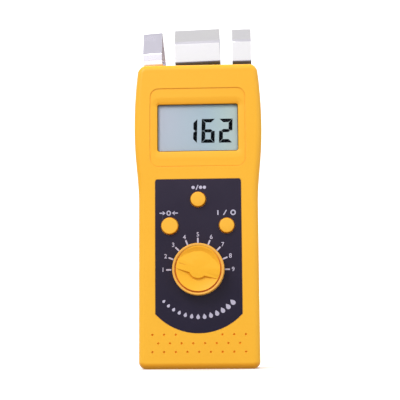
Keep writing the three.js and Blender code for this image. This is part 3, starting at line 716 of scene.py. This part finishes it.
def front_shell():
    seam = PARTING - SEAM / 2
    tongue = PARTING + 1.4
    rings = [case_ring(i, y) for i, y in reversed(quarter(0, PARTING, FRONT, EDGE))]
    rings += [case_ring(0, seam - 0.3), case_ring(0.1, seam - 0.08), case_ring(0.3, seam)]
    rings += [case_ring(1.3, seam), case_ring(1.3, tongue), case_ring(WALL, tongue)]
    rings += [case_ring(i, y) for i, y in quarter(WALL, PARTING, INNER_FRONT, 0.8, 3)]
    shell = loft("front_shell", rings)

    window = rounded_rect(*WINDOW)
    dish = [(3.6, -1), (3.6, PLATE_DEPTH), (2.6, 0.34), (1.3, 0.5), (0.2, 0.72), (0, 0.95)]
    flare = stepped("flare", window, [*dish, (0, WALL + 1)])
    plate = rounded_rect(*PLATE, 12)
    step = [(0.1, -1), (0.1, 0), (-0.1, PLATE_DEPTH)]
    combine(shell, stepped("plate", plate, step))
    line = prism("line", offset(plate, 0.1), FRONT - 1, FRONT + PLATE_DEPTH + 0.15)
    combine(line, prism("core", offset(plate, -0.35), FRONT - 2, FRONT + 2))
    combine(shell, line)
    combine(shell, flare)
    combine(shell, box("pocket", -20.2, 20.2, INNER_FRONT - 0.8, INNER_FRONT + 1, 99.3, 125.9))
    combine(shell, prism("label_recess", label_outline(0), FRONT - 1, FRONT + LABEL_RECESS))
    combine(shell, joined("holes", key_holes(0.25, 4.8, INNER_FRONT + 1) + slots()))
    soften(shell, 0.14, 2)

    full, between, open_row = DIMPLE_ROWS
    places = []
    for i in range(-4, 5):
        places.append((i * DIMPLE_PITCH, full))
        if abs(i) >= 2:
            places.append((i * DIMPLE_PITCH, open_row))
        if i < 4:
            places.append(((i + 0.5) * DIMPLE_PITCH, between))
    bowl = [(0.12, 0.95), (0.3, 0.86), (0.44, 0.6), (0.5, 0.1)]
    bowl += [(0.58, -0.06), (0.72, -0.14), (0.8, -0.4)]
    dimples = [lathe("dimple", [(r, FRONT + y) for r, y in bowl], x, z, 20) for x, z in places]
    combine(shell, joined("dimples", dimples))
    smooth(shell)
    flatten(shell)
    return finish_piece(shell, "case", "case", YELLOW, "front_case")


CASE_SCREWS = [node_box(f"case_screw_{i}") for i in range(1, 5)]


def middle(corners):
    low, high = corners
    return [(a + b) / 2 for a, b in zip(low, high)]


def rear_shell():
    seam = PARTING + SEAM / 2
    lip = PARTING + 1.7
    rings = [case_ring(i, y) for i, y in reversed(quarter(0, PARTING, BACK, EDGE))]
    rings += [case_ring(0, seam + 0.3), case_ring(0.1, seam + 0.08), case_ring(0.3, seam)]
    rings += [case_ring(1.0, seam), case_ring(1.0, lip), case_ring(WALL, lip)]
    rings += [case_ring(i, y) for i, y in quarter(WALL, lip + 0.1, INNER_BACK, 0.8, 3)]
    shell = loft("rear_shell", rings)

    bay = box("bay", -15.7, 15.7, -6.1, INNER_BACK + 0.5, 4.4, 60.4)
    combine(bay, box("bay_inside", -14.5, 14.5, -8, INNER_BACK + 2, 5.6, 59.2))
    combine(bay, box("lead_notch", 6, 12, -8, 2, 58, 62))
    combine(shell, bay, "UNION")
    centres = [(middle(c)[0], middle(c)[2]) for c in CASE_SCREWS]
    towers = [rod("tower", x, z, 3.6, PARTING + 0.2, INNER_BACK + 0.5) for x, z in centres]
    combine(shell, joined("towers", towers), "UNION")
    low, high = node_box("battery_door")
    half = DOOR_HALF + GAP
    opening = box("opening", -half, half, INNER_BACK - 0.5, BACK + 1, low[2] - GAP, high[2] + GAP)
    wells = [rod("well", x, z, 2.9, SCREW_SEAT, BACK + 1) for x, z in centres]
    combine(shell, joined("wells", wells + [opening] + slots()))
    bores = [rod("hole", x, z, 1.6, 0, SCREW_SEAT + 1) for x, z in centres]
    combine(shell, joined("holes", bores))
    soften(shell, 0.16, 2)
    smooth(shell)
    flatten(shell)
    return finish_piece(shell, "case", "case", YELLOW, "rear_case")


def side_loft(name, outline, x0, x1):
    """A bar along X with a (y, z) outline."""
    return loft(name, [[(x, y, z) for y, z in outline] for x in (x0, x1)])


def door():
    low, high = node_box("battery_door")
    front, back = low[1], high[1]
    foot = (back - front) / 2
    axis_y, axis_z = (front + back) / 2, low[2] + foot
    outline = arc(axis_y, axis_z, foot, 180, 360, 12) + [(back, high[2]), (front, high[2])]
    plate = side_loft("door_plate", outline, -DOOR_HALF, DOOR_HALF)
    foot_z, head_z = high[2] - 9, high[2] + 1
    slits = [box("slit", x - 0.4, x + 0.4, front - 1, back + 1, foot_z, head_z) for x in (-6, 6)]
    combine(plate, joined("slits", slits))
    top = high[2] - 3
    bar = rounded_rect(4.4, -0.45, 0.45, 0.4, 4)
    grips = []
    for i in range(4):
        groove = [(x, top - 1.8 * i + dz) for x, dz in bar]
        grips.append(prism("grip", groove, back - 0.5, back + 1))
    combine(plate, joined("grips", grips))
    soften(plate, 0.25, 3)
    smooth(plate)
    turns = [2 * math.pi * i / 24 for i in range(24)]
    section = [(axis_y + 0.7 * math.cos(a), axis_z + 0.7 * math.sin(a)) for a in turns]
    reach = abs(low[0])
    pins = [side_loft("pin", section, *ends) for ends in ((-reach, -13.7), (13.7, reach))]
    piece = joined("door_shell", [plate] + pins)
    return finish_piece(piece, "door", "case", YELLOW, "battery_door")


# ---------- label and print
def label():
    back = node_box("control_label")[1][1]
    film = prism("label_film", label_outline(0.15), LABEL_FACE, back)
    combine(film, joined("holes", key_holes(0.35, 5, FRONT + 1)))
    soften(film, 0.06, 2)
    smooth(film)
    return finish_piece(film, "case", "label", NAVY, "control_label")


def inked(outline):
    return prism("ink", outline, LABEL_FACE - INK_THICK, LABEL_FACE + 0.02)


def turned(outline, angle, dx=0.0, dz=0.0):
    c, s = math.cos(angle), math.sin(angle)
    return [(c * x - s * z + dx, s * x + c * z + dz) for x, z in outline]


def stroke(x0, z0, x1, z1, width):
    """A straight printed line."""
    length = math.hypot(x1 - x0, z1 - z0)
    bar_shape = rounded_rect(length / 2, -width / 2, width / 2, width * 0.2, 3)
    return turned(bar_shape, math.atan2(z1 - z0, x1 - x0), (x0 + x1) / 2, (z0 + z1) / 2)


def ring_print(cx, cz, rx, rz, width, steps=32):
    """A printed ellipse line, as quads."""
    turns = [math.radians(360 * i / steps) for i in range(steps + 1)]
    outer, inner = (
        [(cx + (rx + d) * math.cos(a), cz + (rz + d) * math.sin(a)) for a in turns]
        for d in (width / 2, -width / 2)
    )
    return [inked([outer[i], outer[i + 1], inner[i + 1], inner[i]]) for i in range(steps)]


def droplet(height):
    """A drop with its point up, centred on its own middle."""
    radius = height * 0.34
    base = -height / 2 + radius
    body = arc(0, base, radius, 150, 390, 20)
    tip = (0, height / 2)
    right = (radius * math.cos(math.radians(30)), base + radius * 0.5)
    waist, neck = (right[0] * 0.62, base + radius * 1.3), (0.12 * radius, height * 0.32)
    rise = bezier(right, waist, neck, tip, 6)
    fall = bezier(tip, *[(-x, z) for x, z in (neck, waist, right)], 6)
    return body + rise[:-1] + fall[:-1]


def digit(text, size, x, z):
    """A printed numeral from Blender's own font."""
    curve = bpy.data.curves.new("digit", "FONT")
    curve.body = text
    curve.size = size * MM
    curve.align_x = "CENTER"
    curve.align_y = "CENTER"
    curve.offset = 0.035 * MM
    curve.extrude = INK_THICK * MM / 2
    holder = linked("digit", curve)
    graph = bpy.context.evaluated_depsgraph_get()
    mesh = bpy.data.meshes.new_from_object(holder.evaluated_get(graph))
    mesh.transform(
        Matrix.Translation((x * MM, (LABEL_FACE - INK_THICK / 2) * MM, z * MM))
        @ Matrix.Rotation(math.pi / 2, 4, "X")
    )
    bpy.data.objects.remove(holder)
    return linked("digit", mesh)


def dial_print():
    """Nine ticks and numbers, from 1 on the left over the top to 9 on the right."""
    pieces = []
    for number in range(1, 10):
        angle = math.radians(180 - 22.5 * (number - 1))
        c, s = math.cos(angle), math.sin(angle)
        inner, outer, numeral = ((r * c + DIAL_X, r * s + KNOB_Z) for r in (12.4, 14.8, 16.3))
        pieces.append(inked(stroke(*inner, *outer, 0.74)))
        pieces.append(digit(str(number), 2.8, *numeral))
    return pieces


def key_marks():
    """Signs over the buttons: one or two dots, a zeroing mark, and an on and off mark."""
    pieces = []
    x, z, _ = BUTTONS["single_double"]
    top = z + 5.75
    dots = [arc(x + dx, top, 0.78, 0, 360, 24)[:-1] for dx in (-2.3, 1.2, 3.0)]
    pieces += [inked(dot) for dot in dots]
    pieces.append(inked(stroke(x - 0.95, top - 1.15, x + 0.05, top + 1.15, 0.45)))

    x, z, _ = BUTTONS["zero"]
    x, top = x - 0.5, z + 6.1
    pieces += ring_print(x, top, 0.8, 0.95, 0.5)
    for side in (-1, 1):
        pieces.append(inked(stroke(x + side * 4.3, top, x + side * 2.5, top, 0.5)))
        head = [(x + side * px, top + pz) for px, pz in ((1.5, 0), (2.8, -1), (2.8, 1))]
        pieces.append(inked(head if side > 0 else head[::-1]))

    x, z, _ = BUTTONS["power"]
    x, top = x - 0.5, z + 6.1
    pieces.append(inked(stroke(x - 3.6, top - 1.1, x - 3.6, top + 1.1, 0.6)))
    pieces.append(inked(stroke(x - 1.0, top - 1.2, x + 0.4, top + 1.2, 0.5)))
    pieces += ring_print(x + 3.5, top, 1.0, 1.0, 0.6)
    return pieces


def damp_scale():
    """An arc of drops under the knob, from small to large."""
    pieces = []
    count, reach = 13, 21.6
    first, last = 222, 316  # degrees round the knob
    for i in range(count):
        angle = math.radians(first + (last - first) * i / (count - 1))
        height = 1.8 + 1.4 * i / (count - 1)
        place = (reach * math.cos(angle), KNOB_Z + reach * math.sin(angle))
        pieces.append(inked(turned(droplet(height), angle + math.pi / 2, *place)))
    return pieces


def print_on_label():
    piece = joined("label_print", dial_print() + key_marks() + damp_scale())
    return finish_piece(piece, "case", "label", INK)


# ---------- display
def segment_shapes():
    """The outlines of a digit's seven segments, by their usual letters."""
    w, h = DIGIT_SIZE
    t, gap = SEGMENT_THICK, SEGMENT_GAP
    half, slope = h / 2, t * 0.42
    above, below = half + t * 0.45 + gap, half - t * 0.45 - gap
    upper, lower = half + gap * 1.5, half - gap * 1.5
    left, right, inner, mid = t + gap, w - t - gap, w - t, t * 0.5
    bar = [(t * 0.55 + gap, half), (left, half - slope), (right, half - slope)]
    bar += [(w - t * 0.55 - gap, half), (right, half + slope), (left, half + slope)]
    return {
        "a": [(gap, h), (w - gap, h), (right, h - t * 0.92), (left, h - t * 0.92)],
        "b": [(w, h - gap), (inner, h - left), (inner, above), (w - mid, half + gap), (w, upper)],
        "c": [(w, gap), (w, lower), (w - mid, half - gap), (inner, below), (inner, t + gap)],
        "d": [(gap, 0), (left, t * 0.92), (right, t * 0.92), (w - gap, 0)],
        "e": [(0, gap), (t, t + gap), (t, below), (mid, half - gap), (0, lower)],
        "f": [(0, h - gap), (0, upper), (mid, half + gap), (t, above), (t, h - t - gap)],
        "g": bar,
    }


def lit_segments(face):
    """The dark segments of the reading, on the display's face."""
    lit = {"1": "bc", "6": "acdefg", "2": "abged"}
    right_edge, base, pitch = 16.2, 105.7, 8.35
    lean = math.tan(math.radians(1.6))
    shapes = segment_shapes()
    segments = []
    for place, number in enumerate("162"):
        x0 = right_edge - DIGIT_SIZE[0] - (2 - place) * pitch
        for key in lit[number]:
            outline = [(x0 + x + z * lean, base + z) for x, z in shapes[key]]
            following = outline[1:] + outline[:1]
            area = sum(a[0] * b[1] - b[0] * a[1] for a, b in zip(outline, following))
            if area < 0:
                outline.reverse()
            segments.append(prism("segment", outline, face - 0.04, face + 0.01))
    return segments


def window_and_display():
    low, high = node_box("display_window")
    pane = prism("window_pane", rounded_rect(high[0], low[2], high[2], 0.6), low[1], high[1])
    soften(pane, 0.15, 2)
    smooth(pane)
    finish_piece(pane, "case", "window", CLEAR, "display_window")
    opening = rounded_rect(*WINDOW)
    # a dark ring behind the window's edge, a painted shade where the case's wall shades the
    # display
    edge_shade_ring = prism("window_border", offset(opening, 1.0), low[1] - 0.03, low[1] + 0.02)
    combine(edge_shade_ring, prism("clear_area", offset(opening, -0.35), low[1] - 1, low[1] + 1))
    finish_piece(edge_shade_ring, "case", "black_plastic", WINDOW_EDGE_SHADE)
    low, high = node_box("lcd_panel")
    panel = prism("display_panel", rounded_rect(high[0], low[2], high[2], 0.4), low[1], high[1])
    soften(panel, 0.1, 2)
    smooth(panel)
    finish_piece(panel, "case", "lcd", DISPLAY, "lcd_panel")

    finish_piece(joined("display_digits", lit_segments(low[1])), "case", "lcd", DIGIT)


# ---------- buttons and knob
def button(name, x, z, radius):
    low, high = node_box(f"{name}_button")
    face, back = low[1], high[1]
    flange = (high[0] - low[0]) / 2
    rise = fillet([(0.3, face), (radius, face + 0.02), (radius, back - 0.7)], [0.45], 6)
    profile = rise + [(flange, back - 0.7), (flange, back)]
    piece = lathe(f"{name}_key", profile, x, z, 72)
    smooth(piece)
    return finish_piece(piece, f"{name}_key", "keys", KEY_YELLOW, f"{name}_button")


def grip_outline(below, above):
    """The knob's grip, a round hub with two arms, grown by different amounts below and above."""
    hub, arm, end = 4.2, 2.35, 13.2
    low, high = arm + below, arm + above
    bend_low = math.degrees(math.asin(low / (hub + below)))
    bend_high = math.degrees(math.asin(high / (hub + above)))
    outline = [(end, -low), (end, high)]
    outline += arc(0, 0, hub + above, bend_high, 180 - bend_high, 24)
    outline += [(-end, high - 0.45), (-end, 0.45 - low)]
    return outline + arc(0, 0, hub + below, 180 + bend_low, 360 - bend_low, 24)


def knob():
    """A drum with a groove inside its rim and a bowl that the grip crosses."""
    face = node_box("selector_knob")[0][1]
    back = FRONT - 0.35
    base, rim = KNOB_RADII
    bowl, depth = KNOB_BOWL
    profile = fillet([(0.5, face), (rim, face), (base, back), (4.4, back)], [0.35, 0.2], 6)[:-1]
    profile += [(4.4, back), (4.4, INNER_FRONT + GAP)]
    piece = lathe("selector_knob_shell", profile, 0, 0, 96)

    shares = [1.03 * i / 20 for i in range(1, 21)]
    curve = [(bowl * share, face + depth * (1 - share**2.4)) for share in shares]
    hollow = lathe("hollow", curve + [(bowl * 1.03, face - 1)], 0, 0, 96)
    # the grip has a short steep flank below and fades into the bowl above
    # (depth, growth below, growth above)
    flank = [(-2, 0, 0), (0, 0, 0), (0.25, 0.12, 1.6), (0.6, 0.3, 4.5)]
    flank += [(0.95, 0.55, 8), (1.3, 1.6, 12), (1.7, 3.2, 14)]
    rings = [[(x, face + y, z) for x, z in grip_outline(low, high)] for y, low, high in flank]
    combine(hollow, loft("grip", rings))
    combine(piece, hollow)
    soften(piece, 0.15, 3, 38)

    # the groove runs deeper at the bottom than at the top
    inner, outer = KNOB_GROOVE
    groove = rod("groove", 0, 0, outer, -3, 0, 96)
    combine(groove, rod("core", 0, 0, inner, -4, 1, 96))
    groove.data.transform(
        Matrix.Translation((0, (face + 0.85) * MM, 0)) @ Matrix.Rotation(math.radians(4), 4, "X")
    )
    combine(piece, groove)
    mark = stroke(-9.1, 0.6, -6.0, 0.35, 0.35)
    combine(piece, prism("pointer", mark, face - 1, face + 0.2))
    piece.data.transform(
        Matrix.Translation((0, 0, KNOB_Z * MM)) @ Matrix.Rotation(KNOB_LEAN, 4, "Y")
    )
    smooth(piece)
    return finish_piece(piece, "selector", "keys", KNOB_YELLOW, "selector_knob")


# ---------- electrodes
def resampled(points, spacing):
    made = [points[0]]
    for a, b in zip(points, points[1:]):
        length = math.dist(a, b)
        steps = max(1, math.ceil(length / spacing))
        for i in range(1, steps + 1):
            made.append(tuple(p + (q - p) * i / steps for p, q in zip(a, b)))
    return made


def askew(piece, middle_x, turn, lean):
    """Turns a loop about its own middle and leans it sideways, from the case's top upwards."""
    for vertex in piece.data.vertices:
        x, y, z = (v / MM for v in vertex.co)
        share = min(max((z - TOP - 0.3) / (LOOP_PIVOT - TOP - 0.3), 0.0), 1.0)
        share = share * share * (3 - 2 * share)
        a, b = math.radians(turn) * share, math.radians(lean) * share
        along = (x - middle_x) * math.cos(a) + y * math.sin(a)
        y = y * math.cos(a) - (x - middle_x) * math.sin(a)
        up = z - LOOP_PIVOT
        x = middle_x + along * math.cos(b) - up * math.sin(b)
        z = LOOP_PIVOT + along * math.sin(b) + up * math.cos(b)
        vertex.co = (x * MM, y * MM, z * MM)


def electrode(name, middle_x, width, shoulder, apex, shoulder_radius, turn, lean):
    """One bent strip. The left one's undersides are painted near-white, a painted light."""
    low = node_box(f"{name}_electrode")[0][2]
    half_depth = ELECTRODE_HALF_DEPTH
    tail = 1.2
    foot = [(half_depth, 146.1)]
    if name == "left":
        foot = [(half_depth - 0.55, 145.1), (half_depth, 147.4)]
    shoulders = [(half_depth, shoulder)]
    if name != "left":
        shoulders = [(half_depth, shoulder - 0.6), (half_depth - 0.55, shoulder + 0.8)]
    right = [(tail, low), (tail, 144.6), *foot, *shoulders]
    line = [*[(-y, z) for y, z in right], (0, apex - STRIP / 2 + 0.45), *reversed(right)]
    bends = [0.9] + [0.7] * len(foot) + [shoulder_radius] * len(shoulders)
    radii = [*bends, 1.0, *reversed(bends)]
    path = resampled(fillet(line, radii, 6), 0.8)
    section = rounded_rect(width / 2, -STRIP / 2, STRIP / 2, 0.05, 3)
    rings = []
    for i, (y, z) in enumerate(path):
        before, after = path[max(i - 1, 0)], path[min(i + 1, len(path) - 1)]
        along = Vector((after[0] - before[0], after[1] - before[1])).normalized()
        across = Vector((along.y, -along.x))
        rings.append([(middle_x + u, y + across.x * v, z + across.y * v) for u, v in section])
    piece = loft(f"{name}_electrode_strip", rings)
    askew(piece, middle_x, turn, lean)
    smooth(piece)
    steel = LEFT_ELECTRODE_STEEL if name == "left" else STEEL
    finish_piece(piece, None, "electrode", steel, f"{name}_electrode")
    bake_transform(piece)
    return piece


# ---------- screws
def cross_recess(x, z, face, reach, depth):
    """A cutter for a cross-head recess that tapers inwards."""
    arms = []
    for turn in (0, math.pi / 2):
        shapes = []
        for y, scale in ((face + 0.5, 1.15), (face, 1.0), (face - depth, 0.45)):
            flat = rounded_rect(reach * scale, -0.3 * scale, 0.3 * scale, 0.1 * scale, 3)
            shapes.append([(px, y, pz) for px, pz in turned(flat, turn, x, z)])
        arms.append(loft("arm", shapes))
    return arms


def screw(node, body="case"):
    """A pan-head screw with a cross recess, its head towards the back."""
    low, high = node_box(node)
    x, _, z = middle((low, high))
    head = (high[0] - low[0]) / 2
    top = high[1]
    seat = top - head * 0.68
    shank = head * 0.5
    profile = [(shank * 0.6, low[1]), (shank, low[1] + 1.2), (shank, seat)]
    crown = [(head, seat), (head, top - 0.55 * head), (head * 0.86, top - 0.12), (head * 0.3, top)]
    profile += [(head, seat)] + fillet(crown, [0.2, 0.6], 5)[1:]
    piece = lathe(f"{node}_turned", profile, x, z, 48)
    for arm in cross_recess(x, z, top, head * 0.55, head * 0.4):
        combine(piece, arm)
    smooth(piece)
    return finish_piece(piece, body, "steel", ZINC, node)


# ---------- CAD nodes that stay
def dress(material, *names):
    """Puts a finish on CAD nodes that keep their own shape."""
    for name in names:
        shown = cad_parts[name]
        for held in shown.material_slots:
            held.material = material


def dress_the_rest():
    keys = list(BUTTONS)
    dress(BLACK, "lcd_frame", "main_chip", "electrode_block", "battery_snap", "battery_lead_black")
    dress(BLACK, *[f"{key}_switch" for key in keys])
    dress(CREAM, "selector_rotor", *[f"{key}_plunger" for key in keys])
    dress(RUBBER, "zebra_strip_upper", "zebra_strip_lower")
    dress(BRASS, "wiper_contact")
    dress(ZINC, "rotor_screw", "detent_spring", "crystal")
    dress(ZINC, "battery_terminal_positive", "battery_terminal_negative")
    dress(ZINC, *[f"electrode_screw_{i}" for i in range(1, 5)], "block_screw_1", "block_screw_2")
    dress(ZINC, *[f"board_screw_{i}" for i in range(1, 5)])
    dress(RED, "battery_lead_red", *[f"{name}_electrode_lead" for name in ELECTRODES])
    dress(BLUE, "storage_capacitor")
    dress(COPPER, "oscillator_coil")
    dress(BOARD, "main_board")
    dress(SLEEVE, "battery")


# ---------- studio
def look_from(position, target, roll):
    """A camera's matrix, its picture turned anticlockwise by roll."""
    back = (Vector(position) - Vector(target)).normalized()
    right = Vector((0, 0, 1)).cross(back).normalized()
    up = back.cross(right)
    turned_right = right * math.cos(roll) - up * math.sin(roll)
    turned_up = right * math.sin(roll) + up * math.cos(roll)
    matrix = Matrix((turned_right, turned_up, back)).transposed().to_4x4()
    return Matrix.Translation(position) @ matrix


def camera():
    data = bpy.data.cameras.new("camera")
    data.sensor_width = 36
    data.lens = 92.4
    data.clip_start = 0.01
    made = linked("camera", data)
    azimuth, elevation, distance = math.radians(2.6), math.radians(-7.5), 0.48
    target = Vector((0.0009, FRONT * MM, 0.0781))
    back = Vector(
        (
            math.sin(azimuth) * math.cos(elevation),
            -math.cos(azimuth) * math.cos(elevation),
            math.sin(elevation),
        )
    )
    made.matrix_world = look_from(target + back * distance, target, math.radians(0.43))
    bpy.context.scene.camera = made


def area_light(name, position, target, size, power, colour=(1, 1, 1)):
    data = bpy.data.lights.new(name, "AREA")
    data.shape = "RECTANGLE"
    data.size, data.size_y = size
    data.energy = power
    data.color = colour
    made = linked(name, data)
    made.matrix_world = look_from(Vector(position), Vector(target), 0)
    return made


def studio():
    scene = bpy.context.scene
    world = bpy.data.worlds.new("studio")
    world.use_nodes = True
    nodes, links = world.node_tree.nodes, world.node_tree.links
    place = nodes.new("ShaderNodeTexCoord")
    height = nodes.new("ShaderNodeSeparateXYZ")
    links.new(place.outputs["Generated"], height.inputs[0])
    # (height, strength): a dim ground, bright walls and a greyer ceiling
    below = [(-0.6, 0.3), (0.4, 0.97)]
    above = [(0.6, 0.0), (1.0, 0.32)]
    sockets = ("From Min", "From Max", "To Min", "To Max")
    parts = []
    for (low, dark), (high, light) in (below, above):
        shade = nodes.new("ShaderNodeMapRange")
        for key, value in zip(sockets, (low, high, dark, light)):
            shade.inputs[key].default_value = value
        links.new(height.outputs[2], shade.inputs["Value"])
        parts.append(shade.outputs[0])
    total = nodes.new("ShaderNodeMath")
    total.operation = "SUBTRACT"
    for source, socket in zip(parts, total.inputs):
        links.new(source, socket)
    links.new(total.outputs[0], nodes["Background"].inputs["Strength"])
    nodes["Background"].inputs["Color"].default_value = (1, 1, 1, 1)
    scene.world = world
    scene.view_settings.view_transform = "Standard"
    area_light("key", (-0.45, -0.75, 0.8), (0, 0, 0.08), (0.45, 0.45), 5.6)
    area_light("fill", (0.8, -0.7, 0.35), (0, 0, 0.08), (0.8, 0.8), 1.2)
    wash = area_light("backdrop", (0, 0.55, 1.6), (0, 1.45, 0.3), (2.4, 0.5), 30.0)
    wash.visible_glossy = False

    # the floor and the wall behind it, in metres, with a round bend between them
    steps, bend, floor_end = 24, 0.6, 0.9
    turns = [math.radians(90) * i / steps for i in range(1, steps + 1)]
    sweep = [(-3.0, 0.0), (floor_end, 0.0)]
    sweep += [(floor_end + bend * math.sin(a), bend - bend * math.cos(a)) for a in turns]
    sweep.append((floor_end + bend, 3.0))
    verts = [(x, y, z) for y, z in sweep for x in (-3, 3)]
    faces = [(2 * i, 2 * i + 1, 2 * i + 3, 2 * i + 2) for i in range(len(sweep) - 1)]
    mesh = bpy.data.meshes.new("floor")
    mesh.from_pydata(verts, [], faces)
    floor = linked("floor", mesh)
    paper = Material("paper", Roughness=0.9)
    white, grey = linear(250, 250, 250), linear(247, 247, 248)
    paper.use(Base_Color=paper.mix(paper.noise(40, 3), white, grey))
    mesh.materials.append(paper.material)
    for face in mesh.polygons:
        face.use_smooth = True
    floor.visible_diffuse = False


camera()
studio()
front_shell()
rear_shell()
door()
label()
print_on_label()
window_and_display()
for key, (x, z, radius) in BUTTONS.items():
    button(key, x, z, radius)
knob()
for key, values in ELECTRODES.items():
    electrode(key, *values)
for i in range(1, 5):
    screw(f"case_screw_{i}")
dress_the_rest()
